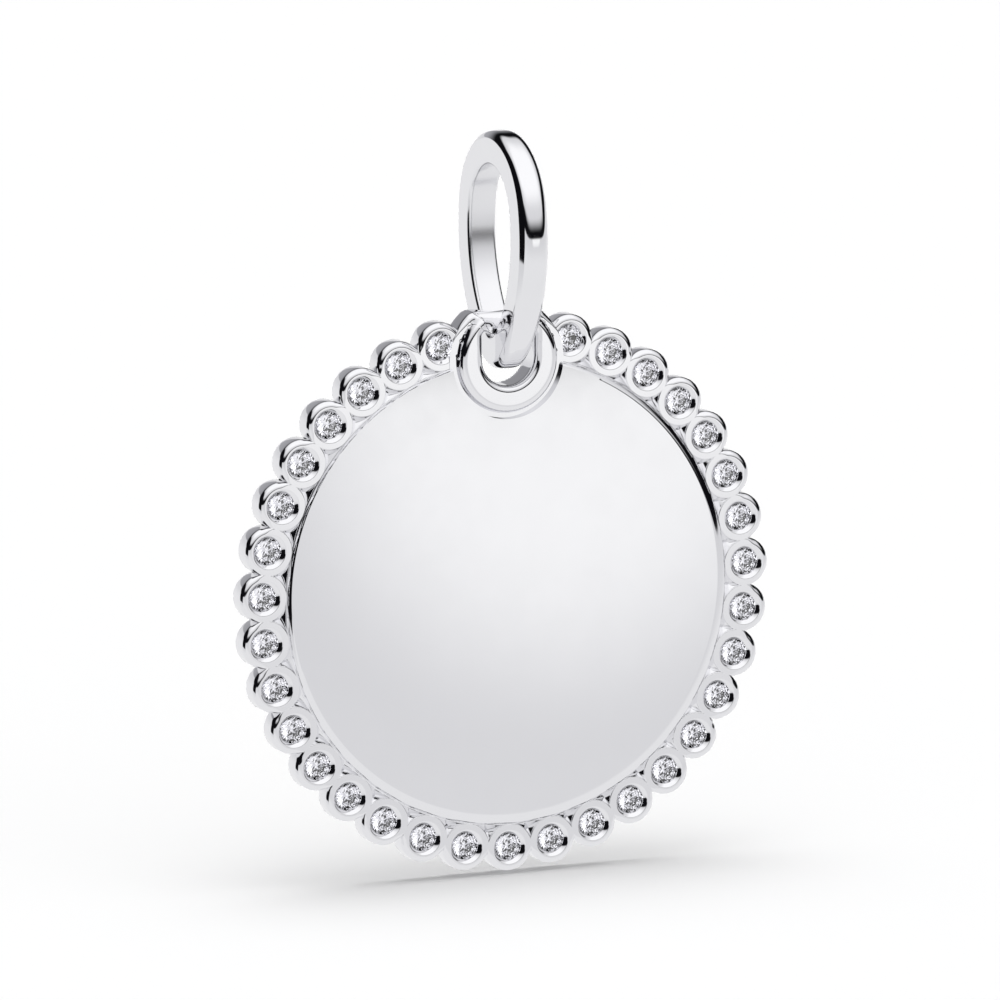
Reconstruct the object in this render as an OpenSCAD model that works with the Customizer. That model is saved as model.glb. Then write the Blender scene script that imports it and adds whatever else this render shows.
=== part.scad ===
// A round disc pendant: a raised polished plate with a border of stone-set beads,
// an eyelet cast into its top edge, and an oval bail that passes through the eyelet.
// Millimetres, +Z up, the front faces -Y.
// The origin is the inside top of the bail, the point that a chain bears on.

/* [Plate] */
// Radius of the raised plate
plate_r = 8.32; // [6:0.01:11]
// Thickness of the plate from front to back
plate_t = 1.3; // [1.15:0.05:2]
// How far the plate stands in front of the beads
plate_rise = 0.4; // [0.25:0.01:0.5]
// Rounding of the plate's front edge
plate_edge_r = 0.36; // [0.1:0.01:0.45]
// Width of the ledge round the foot of the plate
ledge_w = 0.04; // [0.03:0.01:0.1]

/* [Beads] */
// Radius of one bead
bead_r = 0.86; // [0.75:0.01:1.1]
// How far two neighbouring beads run into each other
bead_overlap = 0.078; // [0.06:0.002:0.12]
// How far a bead runs into the ledge
bead_sink = 0.06; // [0.04:0.01:0.12]
// Rounding of a bead's front and back edges
bead_edge_r = 0.16; // [0.05:0.01:0.22]

/* [Stones] */
// Diameter of one stone across its girdle
stone_d = 0.97; // [0.8:0.01:1.1]
// How far the stone's table lies below the front of its bead
stone_recess = 0.13; // [0.05:0.01:0.2]
// Gap between a stone and its seat
seat_gap = 0.015; // [0.01:0.005:0.03]
// Width of the bevel round the mouth of a seat
lip_w = 0.05; // [0.02:0.01:0.08]

/* [Eyelet] */
// Radius of the eyelet's hole
eyelet_hole_r = 0.97; // [0.9:0.01:1.1]
// Height of the hole's flat top above the eyelet's centre
hole_top_h = 1.08; // [0.9:0.01:1.2]
// Radius of the eyelet's raised ring
eyelet_ring_r = 1.78; // [1.65:0.01:1.9]
// Width of the flat shoulder outside the raised ring
shoulder_w = 0.37; // [0.3:0.01:0.45]
// Height of the eyelet's flat top above the eyelet's centre
eyelet_top_h = 1.72; // [1.6:0.01:1.8]
// How far the raised ring stands in front of the beads
eyelet_rise = 0.33; // [0.2:0.01:0.4]
// Rounding of the raised ring's edges
eyelet_edge_r = 0.24; // [0.1:0.01:0.3]
// How far the eyelet's centre lies inside the plate's edge
eyelet_inset = 0.06; // [0:0.01:0.1]
// How far the shoulder runs under the plate
notch_lap = 0.08; // [0.04:0.01:0.15]
// Radius of the bar that the bail hangs round
bar_r = 0.41; // [0.36:0.01:0.45]

/* [Bail] */
// Height of the bail
bail_h = 8.385; // [7:0.005:10]
// Depth of the bail from front to back
bail_depth = 6.13; // [5:0.01:7]
// Thickness of the bail's wall
bail_wall = 1.155; // [0.9:0.005:1.3]
// Width of the bail along the hinge axis
bail_w = 1.07; // [0.9:0.01:1.2]
// How far the bail's outer face bulges between its rounded edges
bail_crown = 0.18; // [0.08:0.01:0.22]
// Rounding of the bail's edges
bail_edge_r = 0.1; // [0.04:0.01:0.2]
// How much smaller the bail's top radius is than half its depth
bail_top_ease = 0.06; // [0.03:0.01:0.2]
// Running gap between the bar and the bail
hinge_gap = 0.07; // [0.04:0.01:0.1]
// Gap between each side of the bail and the cheek beside it
cheek_gap = 0.115; // [0.08:0.005:0.2]

/* [Hidden] */
$fn = 64;
// Depths in the disc's own frame, where the plate is centred on zero and the front is positive
plate_front = plate_t / 2;
bead_front = plate_front - plate_rise;
back = -plate_t / 2;

// Border: the stones' circle, and as many places on it as the beads need
ledge_r = plate_r + ledge_w;
stone_circle_r = ledge_r + bead_r - bead_sink;
bead_places = round(180 / asin((bead_r - bead_overlap / 2) / stone_circle_r));
bead_step = 360 / bead_places;

// Round brilliant, as shares of the stone's diameter
stone_r = stone_d / 2;
table_r = 0.56 * stone_r;
star_r = 0.78 * stone_r;
lower_half_r = 0.24 * stone_r;
crown_h = 0.15 * stone_d;
girdle_h = 0.03 * stone_d;
pavilion_h = 0.43 * stone_d;
girdle_z = bead_front - stone_recess - crown_h;
seat_r = stone_r + seat_gap;

// Eyelet: hole, raised ring and shoulder share one centre above the plate's centre
eyelet_z = plate_r - eyelet_inset;
shoulder_r = eyelet_ring_r + shoulder_w;
notch_r = shoulder_r - notch_lap;
eyelet_front = bead_front + eyelet_rise;
bar_tuck = 0.015;
bar_z = eyelet_z + eyelet_top_h - bar_tuck - bar_r;
neck_w = bail_w + 2 * cheek_gap;
arm_r = eyelet_front - bar_tuck;
arm_lap = 0.04;
arm_half = eyelet_hole_r + 3 * arm_lap;
seat_wall = 0.12;

// A place holds a bead where its seat stays clear of the eyelet's raised ring
function place_angle(j) = (j + 0.5) * bead_step;
function place(a) = [stone_circle_r * sin(a), stone_circle_r * cos(a)];
function clear_of_eyelet(a) =
    norm(place(a) - [0, eyelet_z]) > eyelet_ring_r + seat_r + seat_wall;
bead_angles = [for (j = [0 : bead_places - 1]) if (clear_of_eyelet(place_angle(j))) place_angle(j)];
stones = len(bead_angles);

// Bail: four tangent arcs, whose lower end is centred on the hinge axis
half_depth = bail_depth / 2;
top_r = half_depth - bail_top_ease;
end_r = bar_r + hinge_gap + bail_wall;
function arc_rise(side, end) = sqrt((half_depth - end) * (2 * side - end - half_depth));
function straight_h(side) = arc_rise(side, top_r) + arc_rise(side, end_r);
function solve_side(low, high, steps) =
    steps == 0 ? (low + high) / 2
    : straight_h((low + high) / 2) < bail_h - top_r - end_r
        ? solve_side((low + high) / 2, high, steps - 1)
        : solve_side(low, (low + high) / 2, steps - 1);
side_r = solve_side(half_depth, 20 * half_depth, 40);
hinge_z = -(bail_h - bail_wall - end_r);
side_z = hinge_z + arc_rise(side_r, end_r);
top_z = side_z + arc_rise(side_r, top_r);
side_y = side_r - half_depth;
top_turn = atan2(arc_rise(side_r, top_r), side_y);
end_turn = atan2(arc_rise(side_r, end_r), side_y);
disc_z = hinge_z - bar_z;
bail_pitch = 0.33;

// The disc's frame stood upright: its own Z turns to the front and its Y to the top
module upright() {
    translate([0, 0, disc_z]) rotate([90, 0, 0]) children();
}

// Half profile from radius r0 to r1 with rounded front corners of radius e
module front_rounded(r0, r1, z0, z1, e) {
    translate([r0, z0]) square([r1 - r0, z1 - z0 - e]);
    translate([r0 + e, z0]) square([r1 - r0 - 2 * e, z1 - z0]);
    for (x = [r0 + e, r1 - e]) translate([x, z1 - e]) circle(r = e);
}

// One bead, round edged at the front and back
module bead() {
    e = bead_edge_r;
    rotate_extrude() {
        translate([0, back]) square([bead_r - e, bead_front - back]);
        translate([0, back + e]) square([bead_r, bead_front - back - 2 * e]);
        for (z = [back + e, bead_front - e]) translate([bead_r - e, z]) circle(r = e);
    }
}

// Ledge and raised plate, cut back round the eyelet
module plate() {
    e = min(plate_edge_r, plate_rise);
    translate([0, 0, back]) cylinder(r = ledge_r, h = bead_front - back);
    difference() {
        rotate_extrude() {
            translate([0, back]) square([plate_r - e, plate_front - back]);
            translate([0, back]) square([plate_r, plate_front - back - e]);
            translate([plate_r - e, plate_front - e]) circle(r = e);
        }
        translate([0, eyelet_z, bead_front]) cylinder(r = notch_r, h = 2 * plate_rise);
    }
}

// Shoulder and raised ring of the eyelet, before the hole is cut
module eyelet_body() {
    translate([0, eyelet_z, back]) cylinder(r = shoulder_r, h = bead_front - back);
    translate([0, eyelet_z, 0]) rotate_extrude()
        front_rounded(eyelet_hole_r, eyelet_ring_r, back, eyelet_front, eyelet_edge_r);
}

// A block as wide as w about the middle, from height y0 to y1, right through the disc
module through_block(w, y0, y1) {
    translate([-w / 2, y0, 2 * back]) cube([w, y1 - y0, 4 * plate_t]);
}

// What is cut out of the eyelet: its hole with a flat top, the space above it,
// the room beside the bail, and all of the arms that stands outside their round section
module eyelet_cuts() {
    top = eyelet_z + eyelet_top_h;
    hole_top = eyelet_z + hole_top_h;
    translate([0, eyelet_z, 2 * back]) cylinder(r = eyelet_hole_r, h = 4 * plate_t);
    through_block(2 * eyelet_hole_r, eyelet_z, hole_top);
    through_block(2 * shoulder_r, top, top + shoulder_r);
    through_block(neck_w, eyelet_z, top + 1);
    difference() {
        through_block(2 * arm_half, hole_top - arm_lap, top + 1);
        translate([-shoulder_r, bar_z, 0]) rotate([0, 90, 0])
            cylinder(r = arm_r, h = 2 * shoulder_r);
    }
}

// The bar that the bail hangs round, with rounded ends inside the arms
module bar() {
    translate([0, bar_z, 0]) rotate([0, 90, 0]) rotate_extrude() intersection() {
        union() {
            translate([0, -neck_w / 2]) square([bar_r, neck_w]);
            for (s = [-1, 1]) translate([0, s * neck_w / 2]) circle(r = bar_r);
        }
        translate([0, -neck_w]) square([bar_r, 2 * neck_w]);
    }
}

// Seat for one stone: a bevelled mouth, a straight wall and a cone under the pavilion
module seat() {
    deep = girdle_h + seat_gap;
    translate([0, 0, girdle_z - deep]) cylinder(r = seat_r, h = plate_t);
    translate([0, 0, bead_front - lip_w])
        cylinder(r1 = seat_r, r2 = seat_r + 2 * lip_w, h = 2 * lip_w);
    translate([0, 0, girdle_z - deep - pavilion_h])
        cylinder(r1 = 0.02 * stone_r, r2 = seat_r, h = pavilion_h);
}

// The cast disc: plate, border of beads and eyelet in one solid
module medallion() {
    color("silver") upright() {
        difference() {
            union() {
                plate();
                eyelet_body();
                for (a = bead_angles) translate(place(a)) bead();
            }
            for (a = bead_angles) translate(place(a)) seat();
            eyelet_cuts();
        }
        bar();
    }
}

// One corner of the bail's section, from angle a0 to a1 about a centre [u, v]
function corner(u, v, a0, a1) =
    [for (a = [a0 : (a1 - a0) / 3 : a1 + 0.01])
        [u + bail_edge_r * cos(a), v + bail_edge_r * sin(a)]];

// The bail's section as [outward, sideways] from the top of its crown:
// flat inside and at the sides, and outside an arc that runs on into the corners
function bail_section() =
    let (
        flat = bail_w / 2 - bail_edge_r,
        outer = -bail_crown - bail_edge_r,
        inner = -bail_wall + bail_edge_r,
        reach = (flat * flat + bail_crown * bail_crown) / (2 * bail_crown),
        crown_r = reach + bail_edge_r,
        turn = asin(flat / reach)
    )
    concat(
        [for (i = [-3 : 3]) [crown_r * (cos(i * turn / 4) - 1), crown_r * sin(i * turn / 4)]],
        corner(outer, flat, turn, 90),
        corner(inner, flat, 90, 180),
        corner(inner, -flat, 180, 270),
        corner(outer, -flat, 270, 360 - turn)
    );

// Points of one arc of the bail's path as [y, z, angle, radius], without its last one
function bail_arc(y, z, r, a0, a1) =
    let (steps = ceil(r * (a1 - a0) * PI / 180 / bail_pitch))
    [for (i = [0 : steps - 1]) [y, z, a0 + (a1 - a0) * i / steps, r]];

// The oval bail: the section is carried once round the four arcs
module bail() {
    section = bail_section();
    n = len(section);
    path = concat(
        bail_arc(-side_y, side_z, side_r, -end_turn, top_turn),
        bail_arc(0, top_z, top_r, top_turn, 180 - top_turn),
        bail_arc(side_y, side_z, side_r, 180 - top_turn, 180 + end_turn),
        bail_arc(0, hinge_z, end_r, 180 + end_turn, 360 - end_turn)
    );
    m = len(path);
    points = [for (p = path) for (q = section)
        [q[1], p[0] + (p[3] + q[0]) * cos(p[2]), p[1] + (p[3] + q[0]) * sin(p[2])]];
    function at_ring(j, i) = (j % m) * n + i % n;
    faces = [for (j = [0 : m - 1]) for (i = [0 : n - 1])
        [at_ring(j, i), at_ring(j, i + 1), at_ring(j + 1, i + 1), at_ring(j + 1, i)]];
    color("gainsboro") polyhedron(points = points, faces = faces);
}

// A point at radius r and angle a, at height z
function at(r, a, z) = [r * cos(a), r * sin(a), z];

// One round brilliant with its girdle's top edge at z = 0:
// table, 8 stars, 8 bezels, 16 upper girdles, girdle, 16 lower girdles and 8 pavilion mains
module brilliant() {
    step = 22.5;
    star_z = crown_h * (1 - (star_r * cos(step) - table_r) / (stone_r - table_r));
    low_z = -girdle_h - pavilion_h * (1 - lower_half_r * cos(step) / stone_r);
    points = concat(
        [for (i = [0 : 7]) at(table_r, 2 * i * step, crown_h)],
        [for (i = [0 : 7]) at(star_r, (2 * i + 1) * step, star_z)],
        [for (i = [0 : 15]) at(stone_r, i * step, 0)],
        [for (i = [0 : 15]) at(stone_r, i * step, -girdle_h)],
        [for (i = [0 : 7]) at(lower_half_r, (2 * i + 1) * step, low_z)],
        [[0, 0, -girdle_h - pavilion_h]]
    );
    function table(i) = i % 8;
    function star(i) = 8 + (i + 8) % 8;
    function upper(i) = 16 + (i + 16) % 16;
    function lower(i) = 32 + (i + 16) % 16;
    function low(i) = 48 + (i + 8) % 8;
    culet = 56;
    faces = concat(
        [[for (i = [7 : -1 : 0]) table(i)]],
        [for (i = [0 : 7]) [table(i + 1), star(i), table(i)]],
        [for (i = [0 : 7]) [table(i), star(i), upper(2 * i), star(i - 1)]],
        [for (i = [0 : 7]) [star(i), upper(2 * i + 1), upper(2 * i)]],
        [for (i = [0 : 7]) [star(i), upper(2 * i + 2), upper(2 * i + 1)]],
        [for (i = [0 : 15]) [upper(i), upper(i + 1), lower(i + 1), lower(i)]],
        [for (i = [0 : 7]) [lower(2 * i), lower(2 * i + 1), low(i)]],
        [for (i = [0 : 7]) [lower(2 * i + 1), lower(2 * i + 2), low(i)]],
        [for (i = [0 : 7]) [culet, low(i - 1), lower(2 * i), low(i)]]
    );
    polyhedron(points = points, faces = faces);
}

// The stone of place i
module stone(i) {
    color("white") upright() translate([for (v = place(bead_angles[i])) v])
        translate([0, 0, girdle_z]) brilliant();
}

function stone_name(i) = str("stone_", i < 9 ? "0" : "", i + 1);

medallion();
bail();
for (i = [0 : stones - 1]) stone(i);
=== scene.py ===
import math

import bmesh
import bpy
import numpy as np
from bpy.props import FloatProperty, FloatVectorProperty, PointerProperty, StringProperty
from bpy.types import Operator, Panel, PropertyGroup
from mathutils import Matrix, Vector


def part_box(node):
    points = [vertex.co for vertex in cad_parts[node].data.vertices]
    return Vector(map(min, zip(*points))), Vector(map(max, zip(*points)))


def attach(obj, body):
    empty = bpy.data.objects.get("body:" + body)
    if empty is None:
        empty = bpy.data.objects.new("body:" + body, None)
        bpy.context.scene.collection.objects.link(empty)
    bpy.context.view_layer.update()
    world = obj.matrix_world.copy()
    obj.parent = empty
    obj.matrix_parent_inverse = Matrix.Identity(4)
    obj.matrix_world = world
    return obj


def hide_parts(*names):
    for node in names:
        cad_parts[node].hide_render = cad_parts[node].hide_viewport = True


bl_info = {
    "name": "Disc pendant",
    "version": (1, 0, 0),
    "blender": (4, 5, 0),
    "location": "View3D > Sidebar > Pendant",
    "description": "Dresses the disc pendant: cast disc with beads, oval bail, cut stones and studio",
    "category": "Object",
}

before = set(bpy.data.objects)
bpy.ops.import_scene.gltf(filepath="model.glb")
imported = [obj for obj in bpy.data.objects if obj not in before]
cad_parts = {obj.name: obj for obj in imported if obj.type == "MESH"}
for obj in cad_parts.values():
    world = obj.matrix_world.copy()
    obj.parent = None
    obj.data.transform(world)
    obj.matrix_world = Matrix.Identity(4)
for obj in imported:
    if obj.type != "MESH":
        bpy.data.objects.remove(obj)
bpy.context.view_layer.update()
MM = 0.001
STONES = sorted(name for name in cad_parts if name.startswith("stone_"))
DISC_LOW, DISC_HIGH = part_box("medallion")
# Edges sharper than this many degrees stay crisp
CRISP = 28


# Sizes and colours that a user would change

def size(name, description, mm, low=0.0):
    """A length property whose default is given in millimetres."""
    return FloatProperty(
        name=name, description=description, default=mm * MM, min=low * MM,
        precision=5, unit="LENGTH", subtype="DISTANCE")


def hexcolour(name, description, code):
    """A colour property that holds an sRGB hex code."""
    return StringProperty(name=name, description=description, default=code)


class DiscSizes(PropertyGroup):
    """The cast disc: plate, ledge and border of beads."""
    plate_r: size("Plate radius", "Radius of the raised plate", 8.32)
    plate_rise: size("Plate rise", "How far the plate's rim stands over the beads on average", 0.27)
    plate_lean: size("Plate lean", "How much more the plate stands out on one side", 0.11)
    lean_side: FloatProperty(
        name="Lean side", default=140.0,
        description="Side where the plate stands out most, in degrees clockwise from the top")
    plate_dome: size("Plate dome", "How far the plate's middle bulges in front of its rim", 0.08)
    plate_edge: size("Plate edge", "Average width of the rounding that the flat polish leaves", 0.25)
    edge_lean: size("Edge lean", "How much wider that rounding is on the lean side", 0.21)
    edge_full: size("Full edge", "Width of the rounding as cast, before polishing", 0.46)
    ledge_w: size("Ledge width", "Width of the ledge round the foot of the plate", 0.04)
    thickness: size("Border thickness", "Thickness of the beads from front to back", 0.9)
    bead_r: size("Bead radius", "Radius of one bead", 0.86)
    bead_sink: size("Bead sink", "How far a bead runs into the ledge", 0.06)
    bead_overlap: size("Bead overlap", "How far neighbouring beads run into each other", 0.078)
    bead_edge: size("Bead edge", "Rounding of a bead's front edge on its outward side", 0.19)
    web_edge: size("Web edge", "Rounding of the edges between the beads", 0.035)
    gap_taper: size("Gap taper", "Width of the slope at the top of a gap's walls", 0.19)
    gap_slope: size("Gap slope", "Depth of the slope at the top of a gap's walls", 0.22)
    seat_r: size("Seat radius", "Radius of the seat that holds a stone", 0.5)
    seat_grip: size("Seat grip", "Radius of the metal pressed over a stone's edge", 0.466)
    seat_grip_d: size("Seat grip depth", "Depth of the metal pressed over a stone's edge", 0.243)
    seat_flare: size("Seat flare", "Width and depth of the flare round a seat", 0.1)
    seat_lip: size("Seat lip", "Rounding of the mouth of a seat", 0.045)
    seat_wall_d: size("Seat wall depth", "Depth of the seat's straight wall", 0.32)
    seat_cone_d: size("Seat cone depth", "Depth of the cone below the seat's wall", 0.417)


class EyeletSizes(PropertyGroup):
    """The eyelet at the top of the disc."""
    inset: size("Inset", "How far the eyelet's centre lies inside the plate's edge", 0.06)
    hole_r: size("Hole radius", "Radius of the eyelet's hole", 0.985)
    hole_up: size("Hole height", "How far the hole's centre lies above the eyelet's centre", 0.08)
    hole_top: size("Hole top", "Height of the hole's flat top above the eyelet's centre", 1.08)
    hole_corner: size("Hole corner", "Rounding of the hole's upper corners", 0.2)
    hole_edge: size("Hole edge", "Rounding of the hole's front edge", 0.24)
    ring_r: size("Ring radius", "Radius of the foot of the raised ring", 1.88)
    ring_edge: size("Ring edge", "Width of the ring's outer rounding", 0.27)
    ring_rise: size("Ring rise", "How far the ring's crest stands in front of the beads", 0.34)
    shoulder_r: size("Shoulder radius", "Radius of the shoulder outside the ring", 2.15)
    notch_r: size("Notch radius", "Radius of the notch in the plate", 2.08)
    top: size("Top", "Height of the flat top above the eyelet's centre", 1.72)
    bar_r: size("Bar radius", "Radius of the bar that the bail hangs round", 0.41)
    bar_up: size("Bar height", "Height of the bar's axis above the eyelet's centre", 1.295)
    bar_back: size("Bar depth", "How far the bar's axis lies behind the beads' front", 0.25)


class BailSizes(PropertyGroup):
    """The oval bail."""
    depth: size("Depth", "Depth of the bail from front to back", 6.13)
    wall: size("Wall", "Thickness of the bail's wall", 1.155)
    width: size("Width", "Width of the bail along the hinge axis", 1.07)
    crown: size("Crown", "How far the outer face bulges between its rounded edges", 0.18)
    crown_power: FloatProperty(
        name="Crown power", description="How flat the crown's middle is; 2 is evenly round",
        default=4.0, min=2.0, max=6.0)
    edge: size("Edge", "Rounding of the bail's outer edges", 0.09)
    inner_edge: size("Inner edge", "Rounding of the bail's inner edges", 0.14)
    top_ease: size("Top ease", "How much smaller the top radius is than half the depth", 0.06)
    end_r: size("End radius", "Outer radius of the bail's lower end", 1.635)


class Finishes(PropertyGroup):
    """Colours and polish."""
    silver: hexcolour("Silver", "Colour of polished sterling silver", "#F0F0F2")
    silver_shade: hexcolour("Silver shade", "Colour of silver where the polish thins", "#EDEDEF")
    silver_rough: FloatProperty(
        name="Silver roughness", description="Roughness of the high polish",
        default=0.05, min=0.0, max=1.0)
    inside_rough: FloatProperty(
        name="Inside roughness", description="Roughness of the bail's inside, only tumbled",
        default=0.22, min=0.0, max=1.0)
    ripple: size("Polish ripple", "Height of the soft ripple that hand polishing leaves", 0.00004)
    ripple_scale: size("Ripple length", "Length of one ripple", 3.0)
    stone: hexcolour("Stone", "Body colour of clear cubic zirconia", "#FCFCFF")
    floor: hexcolour("Floor", "Colour of the paper floor", "#FAFAFA")


class StudioSettings(PropertyGroup):
    """Camera and light."""
    azimuth: FloatProperty(name="Azimuth", description="Camera angle round the pendant",
                           default=-22.134)
    elevation: FloatProperty(name="Elevation", description="Camera angle above level",
                             default=9.394)
    roll: FloatProperty(name="Roll", description="Tilt of the picture", default=0.4005)
    aim: FloatVectorProperty(name="Aim", description="Point that the camera looks at",
                             default=(-0.1764 * MM, 0.0, -11.905 * MM), subtype="XYZ")
    distance: size("Distance", "From the camera to the point it looks at", 315.58)
    lens: FloatProperty(name="Lens", description="Focal length on a 36 mm sensor", default=323.6)
    floor_gap: size("Floor gap", "How far the floor lies below the lowest bead", 0.12)
    dome: FloatProperty(name="Dome light", description="Strength of the even light on the floor",
                        default=0.34, min=0.0)
    overhead: FloatProperty(name="Overhead light", description="Strength of the light from above",
                            default=5.84, min=0.0)
    gain: FloatProperty(name="Reflected light", description="Strength of what the silver reflects",
                        default=1.13, min=0.0)
    fire: FloatProperty(name="Fire", description="Contrast of the light in the stones",
                        default=2.6, min=0.1)
    sparkle: FloatProperty(name="Sparkle", description="Strength of the light in the stones",
                           default=2.1, min=0.0)
    table_near: hexcolour("Table edge", "White table seen just below the horizon", "#D5D5D7")
    table_far: hexcolour("Table", "White table seen from above", "#E5E5E6")
    gap: hexcolour("Gap", "Dark gap between the table and the lamps", "#0D0D10")
    rear_gap: hexcolour("Rear gap", "The same gap behind the pendant", "#A0A0A4")
    lamp_low: hexcolour("Lamp edge", "Lower edge of the lamps' cloth", "#D8D8DA")
    lamp: hexcolour("Lamp", "Cloth in front of the lamps", "#FEFEFF")
    spot: hexcolour("Spot", "Bright patch on the table that the plate mirrors", "#F8F8F8")
    spot_azimuth: FloatProperty(name="Spot azimuth", description="Direction of the bright patch",
                                default=22.1)
    spot_elevation: FloatProperty(name="Spot elevation", description="Height of the bright patch",
                                  default=-5.8)
    spot_inner: FloatProperty(name="Spot inner", description="Radius of the full patch in degrees",
                              default=1.6)
    spot_outer: FloatProperty(name="Spot outer", description="Radius where the patch ends in degrees",
                              default=5.6)


# Settings and mesh helpers

def active():
    """The pendant's settings on the open scene."""
    return bpy.context.scene.pendant


def arc(centre, radii, start, end, steps):
    """Points of an elliptical arc between two angles in degrees, both ends included."""
    angles = np.radians(np.linspace(start, end, steps + 1))
    return [(centre[0] + radii[0] * math.cos(a), centre[1] + radii[1] * math.sin(a)) for a in angles]


def new_object(name, points, faces):
    """A mesh object at the origin, made from points and faces."""
    mesh = bpy.data.meshes.new(name)
    mesh.from_pydata([tuple(p) for p in points], [], [tuple(f) for f in faces])
    mesh.validate()
    return link(name, mesh)


def link(name, data):
    """Links data to the scene as an object at the origin."""
    thing = bpy.data.objects.new(name, data)
    bpy.context.scene.collection.objects.link(thing)
    return thing


def tidy_normals(mesh, merge=1e-8):
    """Merges doubled points and turns every face outwards."""
    bm = bmesh.new()
    bm.from_mesh(mesh)
    bmesh.ops.remove_doubles(bm, verts=bm.verts, dist=merge)
    bmesh.ops.recalc_face_normals(bm, faces=bm.faces)
    bm.to_mesh(mesh)
    bm.free()


def loop_mesh(name, rows):
    """A mesh over rows of points, each row a closed ring, with the last row joined to the first."""
    rows = np.asarray(rows, dtype=float)
    count, ring = rows.shape[:2]
    faces = []
    for j in range(count):
        k = (j + 1) % count
        for i in range(ring):
            n = (i + 1) % ring
            faces.append((j * ring + i, j * ring + n, k * ring + n, k * ring + i))
    thing = new_object(name, rows.reshape(-1, 3), faces)
    tidy_normals(thing.data)
    return thing


def lathe(name, outline, steps, centre):
    """Turns a half section about an axis that points to the front.

    outline gives the section's points [radius, height towards the front] for an angle;
    it starts and ends on the axis and has as many points at every angle.
    """
    cx, cy, cz = centre
    angles = [2 * math.pi * i / steps for i in range(steps)]
    sections = [outline(a) for a in angles]
    first, final = sections[0][0], sections[0][-1]
    rings = len(sections[0]) - 2
    points = [(cx, cy - first[1], cz)]
    for j in range(1, rings + 1):
        for a, section in zip(angles, sections):
            r, d = section[j]
            points.append((cx + r * math.sin(a), cy - d, cz + r * math.cos(a)))
    points.append((cx, cy - final[1], cz))
    last = len(points) - 1
    faces = [(0, 1 + i, 1 + (i + 1) % steps) for i in range(steps)]
    for j in range(rings - 1):
        a, b = 1 + j * steps, 1 + (j + 1) * steps
        faces += [(a + i, b + i, b + (i + 1) % steps, a + (i + 1) % steps) for i in range(steps)]
    a = 1 + (rings - 1) * steps
    faces += [(a + i, last, a + (i + 1) % steps) for i in range(steps)]
    thing = new_object(name, points, faces)
    tidy_normals(thing.data)
    return thing


def made_plain(thing, name):
    """The evaluated object as a plain mesh object; the one it was made from is deleted."""
    depsgraph = bpy.context.evaluated_depsgraph_get()
    mesh = bpy.data.meshes.new_from_object(thing.evaluated_get(depsgraph))
    thing.modifiers.clear()
    bpy.data.objects.remove(thing)
    mesh.name = name
    return link(name, mesh)


def joined(base, other, operation):
    """Joins, cuts or intersects two closed meshes; other is deleted."""
    name = base.name
    step = base.modifiers.new("join", "BOOLEAN")
    step.operation = operation
    step.solver = "MANIFOLD"
    step.object = other
    result = made_plain(base, name)
    bpy.data.objects.remove(other)
    if not result.data.polygons:
        raise RuntimeError(name + " was lost in a join")
    return result


def smooth_by_angle(mesh):
    """Smooth shading that stays crisp across sharp edges."""
    mesh.shade_smooth()
    mesh.set_sharp_from_angle(angle=math.radians(CRISP))


# Node helpers

def linear(code):
    """The linear colour of an sRGB hex code."""
    parts = [int(code[i:i + 2], 16) / 255 for i in (1, 3, 5)]
    return tuple(c / 12.92 if c <= 0.04045 else ((c + 0.055) / 1.055) ** 2.4 for c in parts) + (1.0,)


def node(tree, kind, inputs=None, **settings):
    """Adds a node, sets its properties, and fills or links its inputs by name or place."""
    made = tree.nodes.new(kind)
    for key, value in settings.items():
        setattr(made, key, value)
    for key, value in (inputs or {}).items():
        socket = made.inputs[key]
        if isinstance(value, bpy.types.NodeSocket):
            tree.links.new(value, socket)
        else:
            socket.default_value = value
    return made


def new_tree(name, sockets):
    """A geometry tree with a geometry output and the named inputs."""
    tree = bpy.data.node_groups.new(name, "GeometryNodeTree")
    for label, kind in sockets:
        tree.interface.new_socket(label, in_out="INPUT", socket_type=kind)
    tree.interface.new_socket("Geometry", in_out="OUTPUT", socket_type="NodeSocketGeometry")
    return tree, tree.nodes.new("NodeGroupInput").outputs


def run_tree(name, tree, values):
    """Runs a geometry tree on an empty mesh and returns the result as a plain mesh object."""
    host = link(name + "_host", bpy.data.meshes.new(name + "_host"))
    step = host.modifiers.new("build", "NODES")
    step.node_group = tree
    for item in tree.interface.items_tree:
        if item.item_type == "SOCKET" and item.in_out == "INPUT":
            step[item.identifier] = values[item.name]
    return made_plain(host, name)


# Materials

def material(name):
    """An empty material with its shader tree."""
    made = bpy.data.materials.new(name)
    made.use_nodes = True
    made.node_tree.nodes.clear()
    return made, made.node_tree


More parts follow.
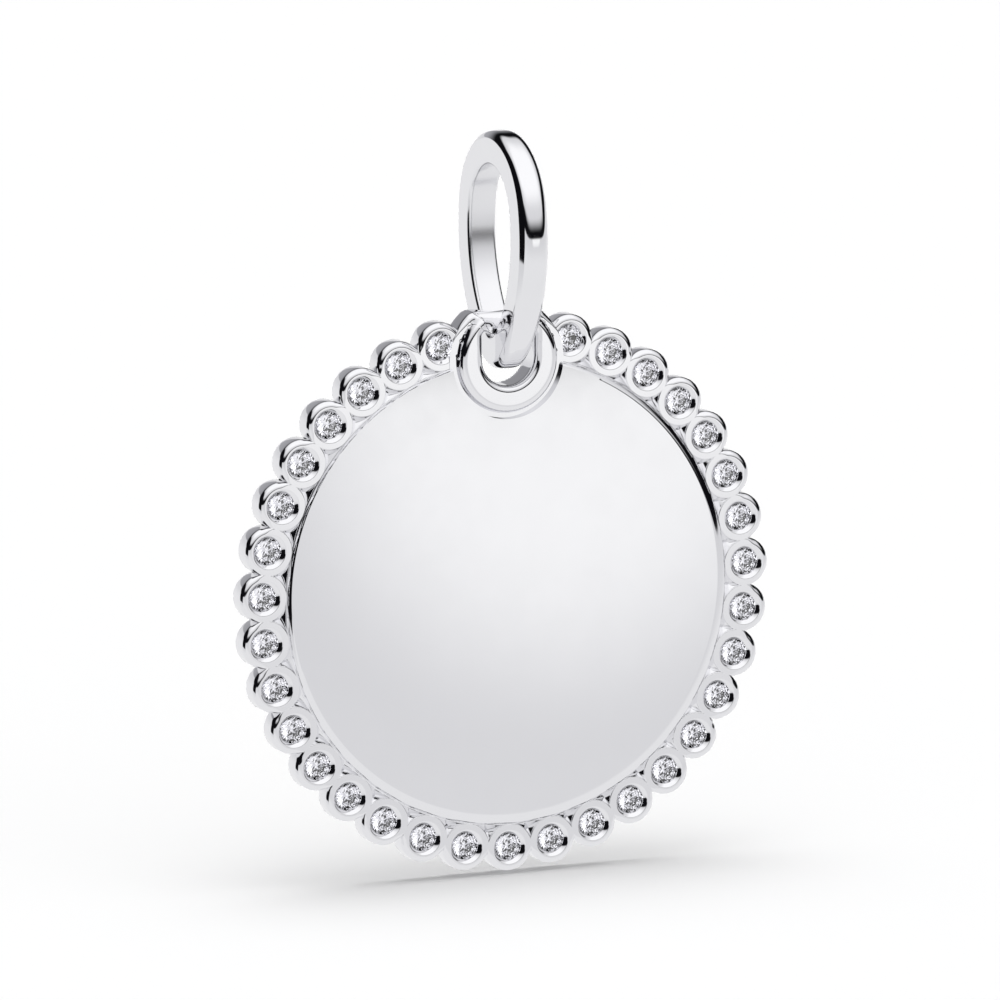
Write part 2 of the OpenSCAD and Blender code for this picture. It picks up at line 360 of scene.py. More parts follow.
def polished_silver():
    """Sterling silver, cast and hand polished."""
    look = active().finishes
    made, tree = material("polished_sterling_silver")
    place = node(tree, "ShaderNodeTexCoord").outputs["Object"]
    # Hand polishing leaves a soft ripple a few millimetres long that bends reflections a little.
    ripple = node(tree, "ShaderNodeTexNoise", {
        "Vector": place, "Scale": 1 / look.ripple_scale, "Detail": 1.0, "Roughness": 0.4}).outputs[0]
    # The buffing wheel leaves a faint haze in patches about a millimetre across.
    haze_patch, haze_gain = 1.1 * MM, 1.25
    haze = node(tree, "ShaderNodeTexNoise", {
        "Vector": place, "Scale": 1 / haze_patch, "Detail": 3.0, "Roughness": 0.55}).outputs[0]
    rough = node(tree, "ShaderNodeMapRange", {
        "Value": haze, "From Min": 0.35, "From Max": 0.7,
        "To Min": look.silver_rough, "To Max": look.silver_rough * haze_gain}).outputs[0]
    # The inside of the bail is only tumbled, so it mirrors less sharply.
    inside = node(tree, "ShaderNodeAttribute", attribute_name="inner_face").outputs["Fac"]
    rough = node(tree, "ShaderNodeMix", {
        "Factor": inside, 2: rough, 3: look.inside_rough}, data_type="FLOAT").outputs[0]
    colour = node(tree, "ShaderNodeMix", {
        "Factor": haze, 6: linear(look.silver), 7: linear(look.silver_shade)}, data_type="RGBA")
    bump = node(tree, "ShaderNodeBump", {
        "Strength": 1.0, "Distance": look.ripple, "Height": ripple}).outputs[0]
    shader = node(tree, "ShaderNodeBsdfPrincipled", {
        "Base Color": colour.outputs[2],
        "Metallic": 1.0, "Roughness": rough, "Normal": bump})
    node(tree, "ShaderNodeOutputMaterial", {"Surface": shader.outputs[0]})
    return made


def clear_stone():
    """Cubic zirconia, cut and polished."""
    look = active().finishes
    made, tree = material("cut_cubic_zirconia")
    place = node(tree, "ShaderNodeTexCoord").outputs["Object"]
    # Cutting and polishing leave mirror-flat facets, so the stone flashes white and black;
    # the last polish leaves a trace of haze on some facets.
    haze_patch = 0.4 * MM
    cloud = node(tree, "ShaderNodeTexNoise", {
        "Vector": place, "Scale": 1 / haze_patch, "Detail": 1.0}).outputs[0]
    rough = node(tree, "ShaderNodeMapRange", {
        "Value": cloud, "From Min": 0.3, "From Max": 0.7, "To Min": 0.0, "To Max": 0.02}).outputs[0]
    shader = node(tree, "ShaderNodeBsdfPrincipled", {
        "Base Color": linear(look.stone), "Roughness": rough,
        "IOR": 2.15, "Transmission Weight": 1.0})
    node(tree, "ShaderNodeOutputMaterial", {"Surface": shader.outputs[0]})
    return made


def paper_floor():
    """White seamless paper."""
    made, tree = material("white_paper")
    place = node(tree, "ShaderNodeTexCoord").outputs["Object"]
    # Uncoated paper is matt, with a faint change of sheen from fibre to fibre.
    fibre_length = 2.0 * MM
    fibre = node(tree, "ShaderNodeTexNoise", {
        "Vector": place, "Scale": 1 / fibre_length, "Detail": 2.0}).outputs[0]
    rough = node(tree, "ShaderNodeMapRange", {
        "Value": fibre, "To Min": 0.85, "To Max": 0.95}).outputs[0]
    shader = node(tree, "ShaderNodeBsdfPrincipled", {
        "Base Color": linear(active().finishes.floor), "Roughness": rough,
        "Specular IOR Level": 0.0})
    node(tree, "ShaderNodeOutputMaterial", {"Surface": shader.outputs[0]})
    return made


# The cast disc

# Steps round the plate, its notch and one bead
PLATE_STEPS, NOTCH_STEPS, BEAD_STEPS = 288, 160, 72
# Rounding of a bead's back edge on its outward side
BACK_EDGE = 0.12 * MM
# Share of the radius where the flat back of the plate or of a bead has a ring of points
BACK_RING = 0.6
# Degrees away from a bead's outward side where its soft edge turns crisp, and where the walls
# of the gaps begin to slope
EDGE_FADE, SLOPE_FADE = (62, 92), (98, 116)
# The eyelet takes the place of two beads, so the first one stands this many places from the top
FIRST_BEAD = 1.5


def disc_centre():
    """The middle of the plate on the level of the beads' front, in the frame."""
    disc = active().disc
    return Vector((0.0, DISC_HIGH.y - disc.thickness, DISC_LOW.z + stone_circle() + disc.bead_r))


def stone_circle():
    """Radius of the circle that the stones stand on."""
    disc = active().disc
    return disc.plate_r + disc.ledge_w + disc.bead_r - disc.bead_sink


def bead_step():
    """Angle from one bead to the next, in radians, with a whole number of places on the circle."""
    disc = active().disc
    half = math.asin((disc.bead_r - disc.bead_overlap / 2) / stone_circle())
    return 2 * math.pi / round(math.pi / half)


def bead_profile(disc, angle):
    """Half section of one bead from its seat's bottom over its face to its back.

    The edge is rounded on the outward side and crisp between the beads, where the faces
    run into one another; the walls of the gaps slope in from the front.
    """
    away = abs(math.degrees(math.remainder(angle, 2 * math.pi)))
    free = 1 - float(step_up(*EDGE_FADE, away))
    round_w = disc.web_edge + (disc.bead_edge - disc.web_edge) * free
    foot = disc.web_edge + (BACK_EDGE - disc.web_edge) * free
    lean = disc.gap_taper * float(step_up(*SLOPE_FADE, away))
    rim, base, back = disc.bead_r - round_w, disc.bead_r + lean, -disc.thickness
    lip, flare, grip = disc.seat_lip, disc.seat_flare, disc.seat_grip
    # The small steps that bend the grip under and over a stone's edge and lead into a rounding
    undercut, ease, bend, shelf, lead = (v * MM for v in (0.025, 0.004, 0.012, 0.006, 0.01))
    mouth = grip + shelf + flare
    return (
        [(0, -disc.seat_wall_d - disc.seat_cone_d), (disc.seat_r, -disc.seat_wall_d),
         (disc.seat_r, -disc.seat_grip_d - undercut), (grip, -disc.seat_grip_d),
         (grip + ease, -flare - bend), (grip + bend, -flare)]
        + arc((mouth + lip, -lip), (lip, lip), 135, 90, 3)
        + [(mouth + lip + lead, 0), (rim - lead, 0)]
        + arc((rim, -round_w), (round_w, round_w), 90, 0, 6)
        + [(base, -disc.gap_slope), (base, back + foot)]
        + arc((base - foot, back + foot), (foot, foot), 0, -90, 3)[1:]
        + [(disc.bead_r * BACK_RING, back), (0, back)])


def plate_profile(disc, angle):
    """Half section of the plate and its ledge from the front's middle to the back's middle.

    The face was polished flat at a slight lean, so one side of its rounded edge is nearly gone.
    """
    side = math.cos(angle - math.radians(disc.lean_side))
    least, inner = 0.04 * MM, disc.plate_r - disc.edge_full
    flat = disc.plate_r - min(max(disc.plate_edge + disc.edge_lean * side, least), disc.edge_full)
    rim = disc.plate_rise + disc.plate_lean * side
    start = math.degrees(math.acos((flat - inner) / disc.edge_full))
    depth = rim / math.sin(math.radians(start))
    # Even rings over the flat, and two beside its edge that keep its shading clean
    rings = 12
    shares = [k / rings for k in range(rings)] + [0.975, 0.9935]
    ledge, foot, back = disc.plate_r + disc.ledge_w, disc.web_edge, -disc.thickness
    base = ledge + disc.gap_taper
    return (
        [(flat * k, disc.plate_rise + (rim - disc.plate_rise) * k + disc.plate_dome * (1 - k * k))
         for k in shares]
        + arc((inner, 0), (disc.edge_full, depth), start, 0, 14)
        + arc((ledge - foot, -foot), (foot, foot), 90, 0, 3)
        + [(base, -disc.gap_slope)]
        + arc((base - foot, back + foot), (foot, foot), 0, -90, 3)
        + [(ledge * BACK_RING, back), (0, back)])


def step_up(low, high, x):
    """A smooth rise from 0 at low to 1 at high."""
    t = np.clip((x - low) / (high - low), 0, 1)
    return t * t * (3 - 2 * t)


def quarter(distance, width, depth):
    """Height of a quarter-round edge at a distance inside it: 0 at the edge, depth past its width."""
    t = np.clip(1 - distance / width, 0, 1)
    return depth * np.sqrt(np.maximum(1 - t * t, 0))


def soft_min(a, b, blend):
    """The smaller of two heights with a rounded meeting."""
    h = np.clip(0.5 + 0.5 * (b - a) / blend, 0, 1)
    return b * (1 - h) + a * h - blend * h * (1 - h)


def soft_max(a, b, blend):
    """The larger of two heights with a rounded meeting."""
    return -soft_min(-a, -b, blend)


class EyeletShape:
    """Front and back height of the eyelet over the beads' front, in millimetres from its centre."""

    # Height of the point that the sections fan out from
    middle = 0.5
    # Sideways distances where one form gives way to the next
    hole_fade, top_fade = (0.55, 0.95), (0.5, 0.9)
    bar_fade, arm_fade, rear_fade = (0.5, 0.66), (1.05, 1.25), (0.5, 1.0)
    # Heights: the bar's zone, the shoulder's rounded rim and the cap over the arms
    bar_zone, shoulder_fade, cap_fade = 0.6, (0.7, 1.5), (0.9, 1.3)
    # Roundings of the back, the shoulder, the cap and the tongue in front of the bar
    back_edge, shoulder_edge, cap_edge, tongue_edge = 0.1, 0.2, 0.2, 0.2
    # The cap's lowest level and how far its rounding reaches over the ring's crest
    cap_low, cap_over = -0.1, 0.12
    # The tongue's upper edge beside the bar and at the arm, and where it ends sideways
    tongue_top, tongue_lift, tongue_fade, tongue_end = 1.2, 0.35, (0.76, 0.97), 1.02
    tongue_low, tongue_lead = -0.3, 0.04
    # Widths of the blends at the ring's crest, its foot, the bar and the rim
    crest_blend, foot_blend, bar_blend, rim_blend = 0.05, 0.12, 0.06, 0.12
    # Steepness of a form that leaves the others free
    lift = 2
    # Least width of a rounding, and least square of half the bar's thickness
    least_edge, least_bar = 0.01, 1e-4

    def __init__(self, eyelet, disc):
        for key in ("hole_r", "hole_up", "hole_top", "hole_corner", "hole_edge", "ring_r", "ring_edge",
                    "ring_rise", "shoulder_r", "top", "bar_r", "bar_up", "bar_back"):
            setattr(self, key, getattr(eyelet, key) / MM)
        self.back = -disc.thickness / MM

    def outside_hole(self, x, z):
        """Distance outside the hole's edge; negative inside the hole."""
        x = np.abs(x)
        sag = self.hole_top - (self.bar_up - self.bar_r)
        top = self.hole_top - sag * (1 - step_up(*self.hole_fade, x))
        c = self.hole_corner
        across, above = x - (self.hole_r - c), z - (top - c)
        corner = np.hypot(np.maximum(across, 0), np.maximum(above, 0))
        upper = corner + np.minimum(np.maximum(across, above), 0) - c
        low = z - self.hole_up
        return np.where(low < 0, np.hypot(x, low) - self.hole_r, upper)

    def inside_rim(self, x, z):
        """Distance inside the shoulder's rim and the flat top; negative outside."""
        dip = self.top - self.bar_up - self.bar_r
        top = self.top - dip * (1 - step_up(*self.top_fade, np.abs(x)))
        return soft_min(self.shoulder_r - np.hypot(x, z), top - z, self.rim_blend)

    def bar_half(self, z):
        """Half the thickness of the round bar at a height, never quite nothing."""
        return np.sqrt(np.maximum(self.bar_r ** 2 - (z - self.bar_up) ** 2, self.least_bar))

    def front(self, x, z):
        """Height of the front surface, towards the front."""
        ax = np.abs(x)
        hole, rim = self.outside_hole(x, z), self.inside_rim(x, z)
        rise = self.ring_rise
        # The raised ring, rounded on the hole's side and outside
        inner = quarter(hole, self.hole_edge, self.hole_edge) + rise - self.hole_edge
        outer = quarter(self.ring_r - np.hypot(x, z), self.ring_edge, rise)
        ring = soft_min(inner, outer, self.crest_blend)
        # The shoulder, with its upper rim rounded off
        round_off = self.shoulder_edge * step_up(*self.shoulder_fade, z)
        shoulder = -round_off + quarter(rim, np.maximum(round_off, self.least_edge), round_off)
        arm = soft_max(ring, np.zeros_like(ring), self.foot_blend) + shoulder
        cap = self.cap_low + quarter(rim, self.cap_edge, rise + self.cap_over)
        cap = cap + self.lift * (1 - step_up(*self.cap_fade, z))
        arm = soft_min(arm, cap, self.crest_blend)
        # The arm thins to a tongue in front of the bar
        edge = self.tongue_top + self.tongue_lift * step_up(*self.tongue_fade, ax)
        edge = edge + self.lift * np.maximum(ax - self.tongue_end, 0)
        tip = quarter(edge - z + self.tongue_lead, self.tongue_edge, rise - self.tongue_low)
        tongue = soft_min(arm, tip + self.tongue_low, self.crest_blend)
        bar = self.bar_half(z) - self.bar_back
        upper = z > self.bar_zone
        near = np.where(upper, 1 - step_up(*self.bar_fade, ax), 0)
        merged = soft_max(tongue, bar, self.bar_blend)
        over = np.where(upper & (ax < self.arm_fade[1]), merged * (1 - near) + bar * near, arm)
        blend = np.where(upper, step_up(*self.arm_fade, ax), 1)
        return over * (1 - blend) + arm * blend

    def rear(self, x, z):
        """Height of the back surface."""
        hole, rim = self.outside_hole(x, z), self.inside_rim(x, z)
        exposed = step_up(*self.shoulder_fade, z)
        edge = self.back_edge
        flat = self.back + edge - quarter(hole, edge, edge)
        flat = flat + (edge - quarter(rim, edge, edge)) * exposed
        bar = -self.bar_half(z) - self.bar_back
        blend = np.where(z > self.bar_zone, step_up(*self.rear_fade, np.abs(x)), 1)
        return bar * (1 - blend) + flat * blend

    def crossing(self, field, angle, low, high):
        """Where a ray from the middle point crosses the zero of a field, by halving."""
        sx, sz = math.sin(angle), math.cos(angle)
        for _ in range(40):
            half = (low + high) / 2
            value = field(np.array(half * sx), np.array(self.middle + half * sz))
            if value < 0:
                low = half
            else:
                high = half
        return (low + high) / 2

    def section(self, angle, across, walls):
        """One closed loop of points through the eyelet's body along a ray."""
        sx, sz = math.sin(angle), math.cos(angle)
        near = self.crossing(self.outside_hole, angle, 0.0, 3.0)
        far = self.crossing(lambda x, z: -self.inside_rim(x, z), angle, near, 4.0)
        share = (1 - np.cos(np.linspace(0, math.pi, across + 1))) / 2
        r = near + (far - near) * share
        x, z = r * sx, self.middle + r * sz
        front, rear = self.front(x, z), self.rear(x, z)
        loop = [(x[i], front[i], z[i]) for i in range(across + 1)]
        steps = np.linspace(0, 1, walls + 1)[1:-1]
        loop += [(x[-1], front[-1] + (rear[-1] - front[-1]) * s, z[-1]) for s in steps]
        loop += [(x[i], rear[i], z[i]) for i in range(across, -1, -1)]
        loop += [(x[0], rear[0] + (front[0] - rear[0]) * s, z[0]) for s in steps]
        return loop


def eyelet_body(eyelet, disc, centre):
    """The eyelet as one closed ring of sections, dense round the bar."""
    shape = EyeletShape(eyelet, disc)
    turns, crowding, across, walls = 260, 0.45, 40, 5
    t = np.arange(turns) / turns * 2 * math.pi
    rows = []
    for angle in t - crowding * np.sin(t):
        rows.append([(centre.x + x * MM, centre.y - d * MM, centre.z + z * MM)
                     for x, d, z in shape.section(angle, across, walls)])
    return loop_mesh("eyelet", rows)


def border_tree():
    """Sets copies of one bead on an arc of the stones' circle."""
    tree, given = new_tree("beaded_border", [
        ("Bead", "NodeSocketObject"), ("Count", "NodeSocketInt"), ("First", "NodeSocketFloat"),
        ("Stride", "NodeSocketFloat"), ("Radius", "NodeSocketFloat"),
        ("Centre", "NodeSocketVector"), ("Material", "NodeSocketMaterial")])
    index = node(tree, "GeometryNodeInputIndex").outputs[0]
    angle = node(tree, "ShaderNodeMath", {0: index, 1: given["Stride"], 2: given["First"]},
                 operation="MULTIPLY_ADD").outputs[0]
    across = node(tree, "ShaderNodeMath", {0: angle}, operation="SINE").outputs[0]
    up = node(tree, "ShaderNodeMath", {0: angle}, operation="COSINE").outputs[0]
    out = node(tree, "ShaderNodeCombineXYZ", {"X": across, "Z": up}).outputs[0]
    place = node(tree, "ShaderNodeVectorMath", {
        0: out, "Scale": given["Radius"]}, operation="SCALE").outputs[0]
    points = node(tree, "GeometryNodePoints", {
        "Count": given["Count"],
        "Position": node(tree, "ShaderNodeVectorMath", {0: place, 1: given["Centre"]}).outputs[0]})
    turn = node(tree, "ShaderNodeCombineXYZ", {"Y": angle}).outputs[0]
    bead = node(tree, "GeometryNodeObjectInfo", {"Object": given["Bead"], "As Instance": True})
    copies = node(tree, "GeometryNodeInstanceOnPoints", {
        "Points": points.outputs[0], "Instance": bead.outputs["Geometry"],
        "Rotation": node(tree, "FunctionNodeEulerToRotation", {0: turn}).outputs[0]})
    real = node(tree, "GeometryNodeRealizeInstances", {0: copies.outputs[0]})
    dressed = node(tree, "GeometryNodeSetMaterial", {
        "Geometry": real.outputs[0], "Material": given["Material"]})
    node(tree, "NodeGroupOutput", {0: dressed.outputs[0]})
    return tree


class PENDANT_OT_medallion(Operator):
    """Builds the cast disc: plate, beads and eyelet in one body"""
    bl_idname = "pendant.medallion"
    bl_label = "Cast disc"

    def execute(self, context):
        disc, eyelet = active().disc, active().eyelet
        centre = disc_centre()
        silver = polished_silver()
        body = lathe("cast_disc", lambda angle: plate_profile(disc, angle), PLATE_STEPS, centre)
        hub = centre + Vector((0, 0, disc.plate_r - eyelet.inset))
        past = 2 * disc.thickness
        notch = [(0, past), (eyelet.notch_r, past), (eyelet.notch_r, -past), (0, -past)]
        body = joined(body, lathe("notch", lambda angle: notch, NOTCH_STEPS, hub), "DIFFERENCE")
        bead = lathe("bead", lambda angle: bead_profile(disc, angle), BEAD_STEPS, (0, 0, 0))
        tree = border_tree()
        step, count = bead_step(), len(STONES)
        for name, first, many in (("odd_beads", 0, (count + 1) // 2), ("even_beads", 1, count // 2)):
            beads = run_tree(name, tree, {
                "Bead": bead, "Count": many, "First": (first + FIRST_BEAD) * step, "Stride": 2 * step,
                "Radius": stone_circle(), "Centre": centre, "Material": silver})
            body = joined(body, beads, "UNION")
        bpy.data.objects.remove(bead)
        bpy.data.node_groups.remove(tree)
        body = joined(body, eyelet_body(eyelet, disc, hub), "UNION")
        sliver = 0.0002 * MM
        tidy_normals(body.data, sliver)
        smooth_by_angle(body.data)
        body.data.materials.clear()
        body.data.materials.append(silver)
        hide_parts("medallion")
        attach(body, "medallion")
        return {"FINISHED"}


# The bail

def bail_arcs():
    """The four arcs of the bail's outer line as [y, z, radius, start, end], angles in radians."""
    bail = active().bail
    low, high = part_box("bail")
    half = bail.depth / 2
    top_r, end_r = half - bail.top_ease, bail.end_r
    straight = (high.z - low.z) - top_r - end_r

    def rise(side, end):
        return math.sqrt((half - end) * (2 * side - end - half))

    # The side's radius that fills the straight length, found by halving
    small, large = half, 20 * half
    for _ in range(60):
        side = (small + large) / 2
        if rise(side, top_r) + rise(side, end_r) < straight:
            small = side
        else:
            large = side
    end_z = low.z + end_r
    side_z = end_z + rise(side, end_r)
    top_z = side_z + rise(side, top_r)
    lean = side - half
    up, down = math.atan2(rise(side, top_r), lean), math.atan2(rise(side, end_r), lean)
    pi = math.pi
    return [(-lean, side_z, side, -down, up), (0, top_z, top_r, up, pi - up),
            (lean, side_z, side, pi - up, pi + down), (0, end_z, end_r, pi + down, 2 * pi - down)]


def curve_object(name, points):
    """A closed poly curve through points."""
    data = bpy.data.curves.new(name, "CURVE")
    data.dimensions = "3D"
    line = data.splines.new("POLY")
    line.points.add(len(points) - 1)
    for point, place in zip(line.points, points):
        point.co = (*place, 1.0)
    line.use_cyclic_u = True
    return link(name, data)


def bail_section(bail):
    """The bail's section as [sideways, outward] from the top of its crown."""
    half, edge, soft = bail.width / 2, bail.edge, bail.inner_edge
    flat, outer, inner = half - edge, -bail.crown - edge, -bail.wall + soft
    # The crown's end slopes as its rounded edge begins, found by repeating
    end, fall = half, bail.crown
    for _ in range(12):
        slope = math.atan(bail.crown_power * fall / end)
        end = half - edge * (1 - math.sin(slope))
        fall = bail.crown + edge * (1 - math.cos(slope))
    turn, steps, lead = math.degrees(slope), 24, 0.03 * MM
    shares = [2 * k / steps - 1 for k in range(steps + 1)]
    return (
        [(end * k, -fall * abs(k) ** bail.crown_power) for k in shares]
        + arc((flat, outer), (edge, edge), 90 - turn, 0, 5)[1:]
        + [(half, outer - lead), (half, inner + lead)]
        + arc((half - soft, inner), (soft, soft), 0, -90, 6)
        + [(half - soft - lead, -bail.wall), (soft + lead - half, -bail.wall)]
        + arc((soft - half, inner), (soft, soft), -90, -180, 6)
        + [(-half, inner + lead), (-half, outer - lead)]
        + arc((-flat, outer), (edge, edge), 180, 90 + turn, 5)[:-1])


def sweep_tree():
    """Carries a closed section along a closed path."""
    tree, given = new_tree("swept_band", [
        ("Path", "NodeSocketObject"), ("Section", "NodeSocketObject"),
        ("Material", "NodeSocketMaterial")])
    path = node(tree, "GeometryNodeObjectInfo", {"Object": given["Path"]}).outputs["Geometry"]
    section = node(tree, "GeometryNodeObjectInfo", {"Object": given["Section"]}).outputs["Geometry"]
    band = node(tree, "GeometryNodeCurveToMesh", {"Curve": path, "Profile Curve": section})
    real = node(tree, "GeometryNodeRealizeInstances", {0: band.outputs[0]})
    dressed = node(tree, "GeometryNodeSetMaterial", {
        "Geometry": real.outputs[0], "Material": given["Material"]})
    node(tree, "NodeGroupOutput", {0: dressed.outputs[0]})
    return tree


def mark_inside(mesh):
    """Stores how far each point of the bail faces the inside of the oval."""
    count = len(mesh.vertices)
    places, normals = np.empty(count * 3), np.empty(count * 3)
    mesh.vertices.foreach_get("co", places)
    mesh.vertices.foreach_get("normal", normals)
    places, normals = places.reshape(-1, 3), normals.reshape(-1, 3)
    low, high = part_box("bail")
    bend, fade = 2.4 * MM, (0.35, 0.9)
    middle = np.clip(places[:, 2], low.z + bend, high.z - bend)
    out = np.stack([places[:, 1], places[:, 2] - middle], axis=1)
    out /= np.maximum(np.linalg.norm(out, axis=1, keepdims=True), 1e-9)
    facing = -(normals[:, 1] * out[:, 0] + normals[:, 2] * out[:, 1])
    mark = mesh.attributes.new("inner_face", "FLOAT", "POINT")
    mark.data.foreach_set("value", step_up(*fade, facing).astype(np.float32))


class PENDANT_OT_bail(Operator):
    """Builds the oval bail"""
    bl_idname = "pendant.bail"
    bl_label = "Bail"

    def execute(self, context):
        bail = active().bail
        points, spacing = [], 0.09 * MM
        for y, z, r, start, end in bail_arcs():
            steps = max(2, round(r * (end - start) / spacing))
            for i in range(steps):
                a = start + (end - start) * i / steps
                points.append((0, y + r * math.cos(a), z + r * math.sin(a)))
        path = curve_object("bail_path", points)
        section = curve_object("bail_section", [(x, y, 0) for x, y in bail_section(bail)])
        tree = sweep_tree()
        body = run_tree("oval_bail", tree, {
            "Path": path, "Section": section,
            "Material": bpy.data.materials["polished_sterling_silver"]})
        for used in (path, section):
            bpy.data.objects.remove(used)
        bpy.data.node_groups.remove(tree)
        tidy_normals(body.data)
        mark_inside(body.data)
        smooth_by_angle(body.data)
        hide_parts("bail")
        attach(body, "bail")
        return {"FINISHED"}


class PENDANT_OT_stones(Operator):
    """Gives the cut stones their material"""
    bl_idname = "pendant.stones"
    bl_label = "Stones"

    def execute(self, context):
        stone = clear_stone()
        for name in STONES:
            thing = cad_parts[name]
            if thing.material_slots:
                for place in thing.material_slots:
                    place.material = stone
            else:
                thing.data.materials.append(stone)
        return {"FINISHED"}


# The studio

# Tilted horizons as [pole, level]: where the table ends and where the lamps begin
TABLE_HORIZON, LAMP_HORIZON = ((0.06, -0.14, 1.0), 0.062), ((0.157, -0.362, 1.0), 0.46)
# Where the dark gap between them reaches lower or higher, as [azimuth, elevation, outer radius
# and inner radius in degrees, amount]
GAP_BELOW = ((-88, -8, 42, 28, 0.36),)
GAP_ABOVE = ((97, 22, 48, 24, -0.22), (-88, 20, 42, 20, -0.18))
# Ranges over which the table pales, the gap pales behind, and the lamps begin and grow full
TABLE_FADE, TABLE_SOFT, REAR_FADE = (-0.3, -0.03), (-0.012, 0.012), (0.8, 0.97)
LAMP_START, LAMP_FULL = (-0.09, 0.085), (0.08, 0.5)
# Direction behind the pendant, where the gap is paler
REAR = (0.0, 1.0, 0.0)
# How tightly the overhead light gathers round straight up
OVERHEAD_FOCUS = 14.0


def direction(azimuth, elevation):
    """Unit vector of a direction in degrees; azimuth 0 is the front and grows to the right."""
    a, e = math.radians(azimuth), math.radians(elevation)
    return (math.sin(a) * math.cos(e), -math.cos(a) * math.cos(e), math.sin(e))


def studio_world():
    """A white table below and lamps behind cloth above, with a dark gap between them.

    The silver mirrors these; the paper floor is lit by an even dome and an overhead light.
    """
    studio = active().studio
    world = bpy.data.worlds.new("studio")
    world.use_nodes = True
    tree = world.node_tree
    tree.nodes.clear()
    ray = node(tree, "ShaderNodeTexCoord").outputs["Generated"]

    def height_over(pole, level):
        """How far a ray stands over a tilted horizon."""
        dot = node(tree, "ShaderNodeVectorMath", {0: ray, 1: pole}, operation="DOT_PRODUCT")
        return node(tree, "ShaderNodeMath", {0: dot.outputs["Value"], 1: level},
                    operation="SUBTRACT").outputs[0]

    def spread(value, low, high):
        """A smooth share from 0 to 1 between two values."""
        return node(tree, "ShaderNodeMapRange", {
            "Value": value, "From Min": low, "From Max": high},
            interpolation_type="SMOOTHSTEP").outputs[0]

    def mix(share, first, second):
        """Mixes two colours."""
        return node(tree, "ShaderNodeMix", {"Factor": share, 6: first, 7: second},
                    data_type="RGBA").outputs[2]

    def near(azimuth, elevation, outer, inner):
        """A soft round patch about a direction, from nothing at outer to 1 at inner degrees away."""
        dot = node(tree, "ShaderNodeVectorMath", {0: ray, 1: direction(azimuth, elevation)},
                   operation="DOT_PRODUCT").outputs["Value"]
        return spread(dot, math.cos(math.radians(outer)), math.cos(math.radians(inner)))

    def shifted(value, share, amount):
        """Adds a share of an amount to a value."""
        return node(tree, "ShaderNodeMath", {0: share, 1: amount, 2: value},
                    operation="MULTIPLY_ADD").outputs[0]

    table_edge, lamp_edge = height_over(*TABLE_HORIZON), height_over(*LAMP_HORIZON)
    for *place, amount in GAP_BELOW:
        table_edge = shifted(table_edge, near(*place), amount)
    for *place, amount in GAP_ABOVE:
        lamp_edge = shifted(lamp_edge, near(*place), amount)
    table = mix(spread(table_edge, *TABLE_FADE), linear(studio.table_far), linear(studio.table_near))
    patch = near(studio.spot_azimuth, studio.spot_elevation, studio.spot_outer, studio.spot_inner)
    table = mix(patch, table, linear(studio.spot))
    behind = spread(height_over(REAR, 0.0), *REAR_FADE)
    gap = mix(behind, linear(studio.gap), linear(studio.rear_gap))
    sky = mix(spread(lamp_edge, *LAMP_START), gap, linear(studio.lamp_low))
    sky = mix(spread(lamp_edge, *LAMP_FULL), sky, linear(studio.lamp))
    around = mix(spread(table_edge, *TABLE_SOFT), table, sky)
    mirrored = node(tree, "ShaderNodeBackground", {"Color": around, "Strength": studio.gain})
    # Cut stones gather the lamps and lose the grey table, so they see more contrast.
    crisp = node(tree, "ShaderNodeGamma", {0: around, 1: studio.fire}).outputs[0]
    sparkle = node(tree, "ShaderNodeBackground", {"Color": crisp, "Strength": studio.sparkle})
    # The paper is lit mostly from overhead, so the shadow stays close under the disc.
    up = node(tree, "ShaderNodeSeparateXYZ", {0: ray}).outputs["Z"]
    overhead = node(tree, "ShaderNodeMath", {0: up, 1: OVERHEAD_FOCUS}, operation="POWER").outputs[0]
    dome = node(tree, "ShaderNodeMath", {0: overhead, 1: studio.overhead, 2: studio.dome},
                operation="MULTIPLY_ADD").outputs[0]
    # Seen straight from the camera, the surroundings are white.
    path = node(tree, "ShaderNodeLightPath").outputs
    lit = node(tree, "ShaderNodeMath", {0: dome, 1: path["Is Camera Ray"]},
               operation="MAXIMUM").outputs[0]
    plain = node(tree, "ShaderNodeBackground", {"Color": (1, 1, 1, 1), "Strength": lit})
    open_ray = node(tree, "ShaderNodeMath", {
        0: path["Is Camera Ray"], 1: path["Is Diffuse Ray"]}, operation="MAXIMUM").outputs[0]
    seen = node(tree, "ShaderNodeMixShader", {
        0: path["Is Transmission Ray"], 1: mirrored.outputs[0], 2: sparkle.outputs[0]})
    both = node(tree, "ShaderNodeMixShader", {0: open_ray, 1: seen.outputs[0], 2: plain.outputs[0]})
    node(tree, "ShaderNodeOutputWorld", {"Surface": both.outputs[0]})
    return world


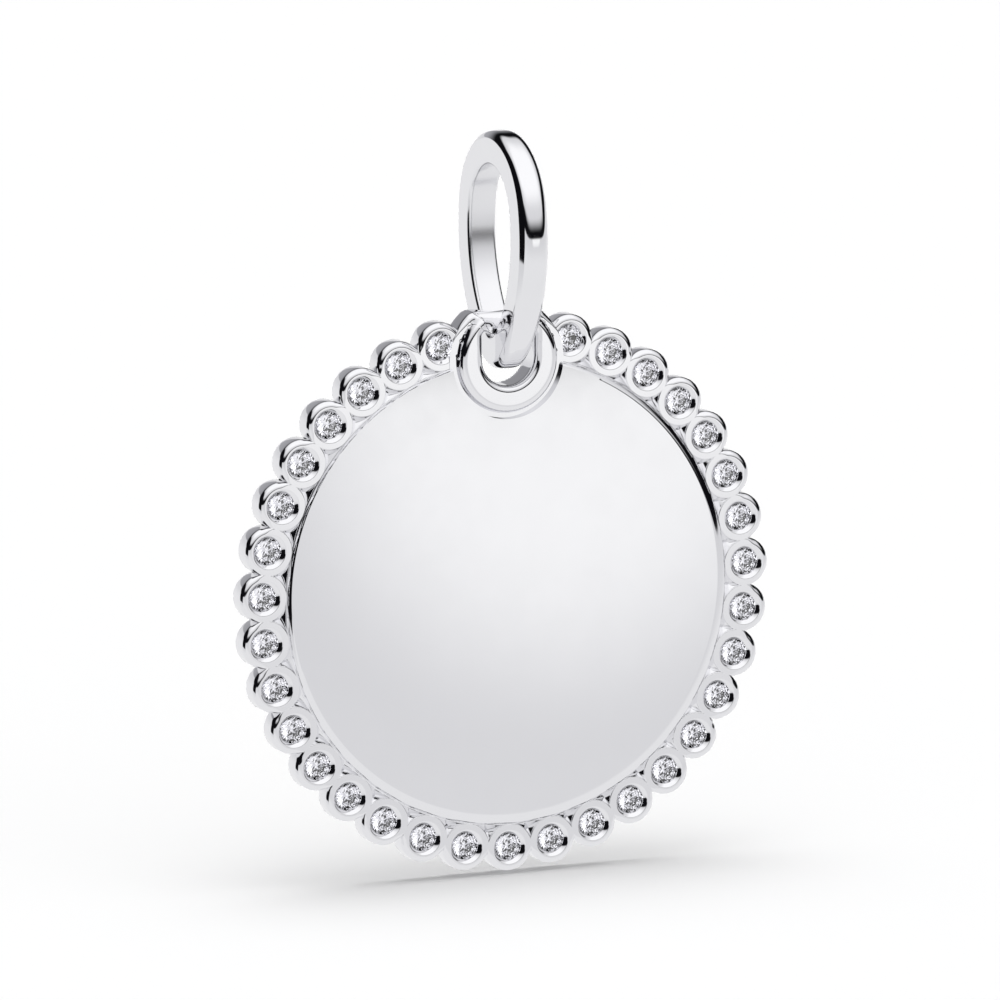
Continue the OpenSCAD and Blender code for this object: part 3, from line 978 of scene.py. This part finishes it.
class PENDANT_OT_studio(Operator):
    """Sets the floor, the light and the camera"""
    bl_idname = "pendant.studio"
    bl_label = "Studio"

    def execute(self, context):
        scene = context.scene
        studio = active().studio
        ground, reach = DISC_LOW.z - studio.floor_gap, 2.0
        corners = [(x * reach, y * reach, ground) for x, y in ((-1, -1), (1, -1), (1, 1), (-1, 1))]
        floor = new_object("paper_floor", corners, [(0, 1, 2, 3)])
        floor.data.materials.append(paper_floor())
        floor.visible_glossy = False
        floor.visible_transmission = False
        scene.world = studio_world()
        a, e, roll = (math.radians(v) for v in (studio.azimuth, studio.elevation, studio.roll))
        ahead = Vector((-math.sin(a) * math.cos(e), math.cos(a) * math.cos(e), -math.sin(e)))
        right = Vector((math.cos(a), math.sin(a), 0))
        up = right.cross(ahead)
        tilt, turned = math.cos(roll), math.sin(roll)
        right, up = right * tilt - up * turned, up * tilt + right * turned
        lens = bpy.data.cameras.new("camera")
        lens.sensor_width, lens.lens = 36.0, studio.lens
        lens.clip_start, lens.clip_end = 0.01, 20
        camera = link("camera", lens)
        turn = Matrix((right, up, -ahead)).transposed().to_4x4()
        camera.matrix_world = Matrix.Translation(Vector(studio.aim) - ahead * studio.distance) @ turn
        scene.camera = camera
        scene.view_settings.view_transform = "Standard"
        return {"FINISHED"}


# The add-on

class PendantSettings(PropertyGroup):
    """All sizes, finishes and studio settings of the pendant."""
    disc: PointerProperty(type=DiscSizes)
    eyelet: PointerProperty(type=EyeletSizes)
    bail: PointerProperty(type=BailSizes)
    finishes: PointerProperty(type=Finishes)
    studio: PointerProperty(type=StudioSettings)


OPERATORS = (PENDANT_OT_medallion, PENDANT_OT_bail, PENDANT_OT_stones, PENDANT_OT_studio)


class PENDANT_PT_panel(Panel):
    """Lists the pendant's steps."""
    bl_idname = "PENDANT_PT_panel"
    bl_label = "Disc pendant"
    bl_space_type = "VIEW_3D"
    bl_region_type = "UI"
    bl_category = "Pendant"

    def draw(self, context):
        for operator in OPERATORS:
            self.layout.operator(operator.bl_idname)


CLASSES = (DiscSizes, EyeletSizes, BailSizes, Finishes, StudioSettings, PendantSettings,
           *OPERATORS, PENDANT_PT_panel)


def register():
    """Registers the classes and the settings."""
    for item in CLASSES:
        bpy.utils.register_class(item)
    bpy.types.Scene.pendant = PointerProperty(type=PendantSettings)


def unregister():
    """Takes the classes and the settings out again."""
    del bpy.types.Scene.pendant
    for item in reversed(CLASSES):
        bpy.utils.unregister_class(item)


def main():
    """Builds the pendant and its studio."""
    register()
    bpy.ops.pendant.medallion()
    bpy.ops.pendant.bail()
    bpy.ops.pendant.stones()
    bpy.ops.pendant.studio()


if __name__ == "__main__":
    main()
